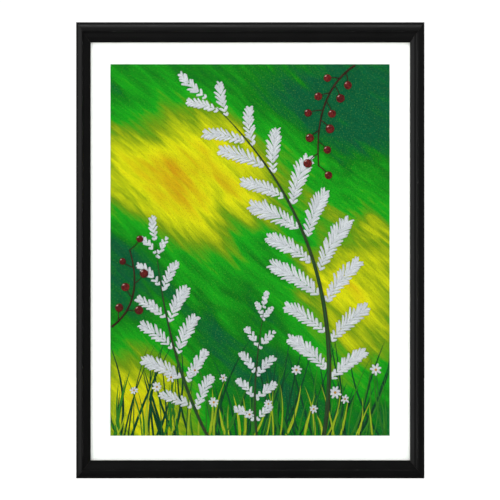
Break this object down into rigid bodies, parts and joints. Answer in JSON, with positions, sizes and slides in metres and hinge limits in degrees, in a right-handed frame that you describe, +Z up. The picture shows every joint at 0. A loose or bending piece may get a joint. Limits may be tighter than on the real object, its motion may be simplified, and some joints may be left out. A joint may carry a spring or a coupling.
{
  "type": "framed picture",
  "caption": "Portrait picture in a black moulded wooden frame with a white window mat, clear glazing, a turn-button back and a sawtooth wall hanger.",
  "frame": {"origin": "top of the middle notch of the sawtooth hanger on the back, where a nail in the wall carries the picture", "axes": "+X to the picture's right as seen from the front, +Y from the front towards the wall, +Z up"},
  "size_m": [0.497, 0.0263, 0.651],
  "materials": {
    "black_wood": "satin black lacquer",
    "clear_glass": "clear, polished",
    "white_mat_board": "matt, smooth",
    "printed_paper": "painted print, low sheen",
    "foam_board": "matt",
    "hardboard": "raw pressed board",
    "zinc_steel": "zinc plated",
    "brassed_steel": "brass plated",
    "soft_rubber": "matt"
  },
  "bodies": {
    "frame": {"rail_top": "black_wood", "rail_bottom": "black_wood", "stile_left": "black_wood", "stile_right": "black_wood", "glazing": "clear_glass", "window_mat": "white_mat_board", "print_sheet": "printed_paper", "filler_board": "foam_board", "backing_board": "hardboard", "vee_nail_top_left": "zinc_steel", "vee_nail_top_right": "zinc_steel", "vee_nail_bottom_left": "zinc_steel", "vee_nail_bottom_right": "zinc_steel", "turn_screw_1": "zinc_steel", "turn_screw_2": "zinc_steel", "turn_screw_3": "zinc_steel", "turn_screw_4": "zinc_steel", "turn_screw_5": "zinc_steel", "turn_screw_6": "zinc_steel", "turn_screw_7": "zinc_steel", "turn_screw_8": "zinc_steel", "sawtooth_hanger": "brassed_steel", "hanger_nail_left": "brassed_steel", "hanger_nail_right": "brassed_steel", "bumper_left": "soft_rubber", "bumper_right": "soft_rubber"},
    "button_1": {"turn_button_1": "zinc_steel"},
    "button_2": {"turn_button_2": "zinc_steel"},
    "button_3": {"turn_button_3": "zinc_steel"},
    "button_4": {"turn_button_4": "zinc_steel"},
    "button_5": {"turn_button_5": "zinc_steel"},
    "button_6": {"turn_button_6": "zinc_steel"},
    "button_7": {"turn_button_7": "zinc_steel"},
    "button_8": {"turn_button_8": "zinc_steel"}
  },
  "joints": [
    {"name": "button_1_turn", "type": "hinge", "parent": "frame", "child": "button_1", "pos_m": [-0.2407, -0.0027, -0.1453], "axis": [0, 1, 0], "continuous": true},
    {"name": "button_2_turn", "type": "hinge", "parent": "frame", "child": "button_2", "pos_m": [-0.2407, -0.0027, -0.4753], "axis": [0, 1, 0], "continuous": true},
    {"name": "button_3_turn", "type": "hinge", "parent": "frame", "child": "button_3", "pos_m": [0.2407, -0.0027, -0.1453], "axis": [0, 1, 0], "continuous": true},
    {"name": "button_4_turn", "type": "hinge", "parent": "frame", "child": "button_4", "pos_m": [0.2407, -0.0027, -0.4753], "axis": [0, 1, 0], "continuous": true},
    {"name": "button_5_turn", "type": "hinge", "parent": "frame", "child": "button_5", "pos_m": [-0.125, -0.0027, -0.0009], "axis": [0, 1, 0], "continuous": true},
    {"name": "button_6_turn", "type": "hinge", "parent": "frame", "child": "button_6", "pos_m": [0.125, -0.0027, -0.0009], "axis": [0, 1, 0], "continuous": true},
    {"name": "button_7_turn", "type": "hinge", "parent": "frame", "child": "button_7", "pos_m": [-0.125, -0.0027, -0.6228], "axis": [0, 1, 0], "continuous": true},
    {"name": "button_8_turn", "type": "hinge", "parent": "frame", "child": "button_8", "pos_m": [0.125, -0.0027, -0.6228], "axis": [0, 1, 0], "continuous": true}
  ]
}
